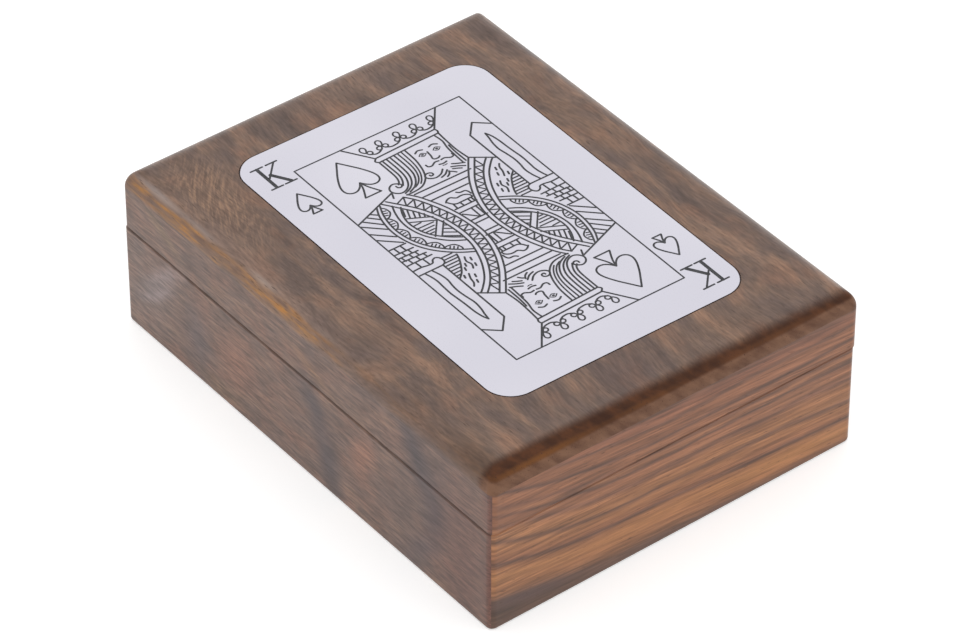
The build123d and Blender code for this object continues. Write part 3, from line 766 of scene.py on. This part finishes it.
filled = add_node(strokes, "GeometryNodeSetMaterial",
                  {"Geometry": real, "Material": given.outputs["Lacquer"]})
add_node(strokes, "NodeGroupOutput", {"Lines": filled})

cutter = stroke_object.modifiers.new("engraved_strokes", "NODES")
cutter.node_group = strokes
for name, value in (("Line scale", 1.0), ("Lacquer", black_fill)):
    cutter[stroke_inputs[name].identifier] = value
bpy.context.view_layer.update()
depsgraph = bpy.context.evaluated_depsgraph_get()
lines = bpy.data.meshes.new_from_object(stroke_object.evaluated_get(depsgraph))
bpy.data.objects.remove(stroke_object)

# the outlines of the flat lines divide the top of the plate, and what lies in a line is sunk
plate_low, plate_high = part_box("card_plate")
thickness = (plate_high[2] - plate_low[2]) * 1000
card_shape = {"half_x": 30.0, "half_y": 45.0, "corner": 6.0, "steps": 12}
bevel = 0.1
engraving_depth = 0.05
top_edge = rounded_outline(**card_shape, drawn_in=bevel)
flat_points = [Vector((point.co.x, point.co.y)) for point in lines.vertices]
line_parts = []
shared = Counter()
for face in lines.polygons:
    corners = list(face.vertices)
    shared.update(face.edge_keys)
    # a strip's quad can cross itself in a tight bend, but its two triangles can't
    for part in ([corners[:3], corners[:1] + corners[2:]] if len(corners) == 4 else [corners]):
        line_parts.append([flat_points[number] for number in part])
flat_edges = [edge for edge, count in shared.items() if count == 1]
first_edge_point = len(flat_points)
flat_points.extend(Vector(point) for point in top_edge)
spots, _, triangles, origins, _, _ = delaunay_2d_cdt(flat_points, flat_edges, [], 0, 1e-4)

# parts by the square millimetres that they touch, to find the few near a triangle
parts_near = defaultdict(list)
for part in line_parts:
    for right in range(math.floor(min(p.x for p in part)), math.floor(max(p.x for p in part)) + 1):
        for up in range(math.floor(min(p.y for p in part)), math.floor(max(p.y for p in part)) + 1):
            parts_near[right, up].append(part)


def in_a_line(triangle):
    """Whether the middle of a triangle lies in a line, whichever way round its part runs."""
    middle = sum((spots[spot] for spot in triangle), Vector((0, 0))) / 3
    for part in parts_near[math.floor(middle.x), math.floor(middle.y)]:
        sides = [(b - a).cross(middle - a) for a, b in zip(part, part[1:] + part[:1])]
        if min(sides) >= 0 or max(sides) <= 0:
            return True
    return False


plate_mesh = bmesh.new()
face_points = {}
floor_points = {}
sunk_sides = set()
faces_up = []
for triangle in triangles:
    sunk = in_a_line(triangle)
    layer = floor_points if sunk else face_points
    for spot in triangle:
        if spot not in layer:
            layer[spot] = plate_mesh.verts.new((*spots[spot], -engraving_depth if sunk else 0.0))
    face = plate_mesh.faces.new([layer[spot] for spot in triangle])
    face.material_index = int(sunk)
    sides = list(zip(triangle, triangle[1:] + triangle[:1]))
    if sunk:
        sunk_sides.update(sides)
    else:
        faces_up.append(sides)
for sides in faces_up:
    for start, end in sides:
        if (end, start) in sunk_sides:
            plate_mesh.faces.new((face_points[start], floor_points[start], floor_points[end],
                                  face_points[end]))
# the small bevel, the side and the back
edge_spots = {origin: number for number, origin_list in enumerate(origins) for origin in origin_list}
ring = [face_points[edge_spots[first_edge_point + number]] for number in range(len(top_edge))]
for depth in (bevel, thickness):
    lower = [plate_mesh.verts.new((x, y, -depth)) for x, y in rounded_outline(**card_shape)]
    for i in range(len(ring)):
        j = (i + 1) % len(ring)
        plate_mesh.faces.new((lower[i], lower[j], ring[j], ring[i]))
    ring = lower
plate_mesh.faces.new(list(reversed(ring)))
# the plate lies 0.3 mm to the left of the middle and 0.8 mm behind it, with its length along the
# box, less one degree
plate_place = (Matrix.Translation((-0.0003, 0.0008, plate_high[2]))
               @ Matrix.Rotation(math.radians(89), 4, "Z") @ Matrix.Scale(0.001, 4))
bmesh.ops.transform(plate_mesh, matrix=plate_place, verts=plate_mesh.verts)
plate_data = bpy.data.meshes.new("engraved_card_plate")
plate_mesh.to_mesh(plate_data)
plate_data.materials.append(plate_metal)
plate_data.materials.append(black_fill)
engraved_plate = bpy.data.objects.new("engraved_card_plate", plate_data)
bpy.context.collection.objects.link(engraved_plate)
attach(engraved_plate, "lid")
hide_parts("card_plate")


# ---- Studio ----
# A white paper floor under an even white sky, as in a light tent.

floor_mesh = bpy.data.meshes.new("studio_floor")
half_floor = 3.0
floor_mesh.from_pydata([(-half_floor, -half_floor, 0), (half_floor, -half_floor, 0),
                        (half_floor, half_floor, 0), (-half_floor, half_floor, 0)], [], [(0, 1, 2, 3)])
floor = bpy.data.objects.new("studio_floor", floor_mesh)
bpy.context.collection.objects.link(floor)
floor_paper, tree, place = new_material("white_paper")
paper = add_node(tree, "ShaderNodeBsdfDiffuse", {"Color": linear("#f2f2f2")})
rays = add_node(tree, "ShaderNodeLightPath")
seen = add_node(tree, "ShaderNodeMath",
                {0: rays.outputs["Is Camera Ray"], 1: rays.outputs["Is Glossy Ray"]}, operation="ADD")
seen_too = add_node(tree, "ShaderNodeMath", {0: seen, 1: rays.outputs["Is Transmission Ray"]},
                    operation="ADD")
# what the paper glows by, where it is seen, so that it comes out white but keeps the shadow
paper_glow = 0.45
lift = add_node(tree, "ShaderNodeMath", {0: seen_too, 1: paper_glow}, operation="MULTIPLY")
glow = add_node(tree, "ShaderNodeEmission", {"Color": (1, 1, 1, 1), "Strength": lift})
both = add_node(tree, "ShaderNodeAddShader", {0: paper, 1: glow})
add_node(tree, "ShaderNodeOutputMaterial", {"Surface": both})
floor_mesh.materials.append(floor_paper)

world = bpy.data.worlds.new("light_tent")
bpy.context.scene.world = world
world.use_nodes = True
background = world.node_tree.nodes["Background"]
background.inputs["Color"].default_value = (1.0, 1.0, 1.0, 1.0)
background.inputs["Strength"].default_value = 0.9

camera = bpy.data.cameras.new("camera")
camera.lens = 198.76
camera.sensor_width = 36.0
camera_object = bpy.data.objects.new("camera", camera)
camera_object.location = (0.63417, -0.49785, 0.68218)
camera_object.rotation_euler = (math.radians(90 - 39.61), 0.0, math.radians(51.93))
bpy.context.collection.objects.link(camera_object)
bpy.context.scene.camera = camera_object

bpy.context.scene.view_settings.view_transform = "Standard"
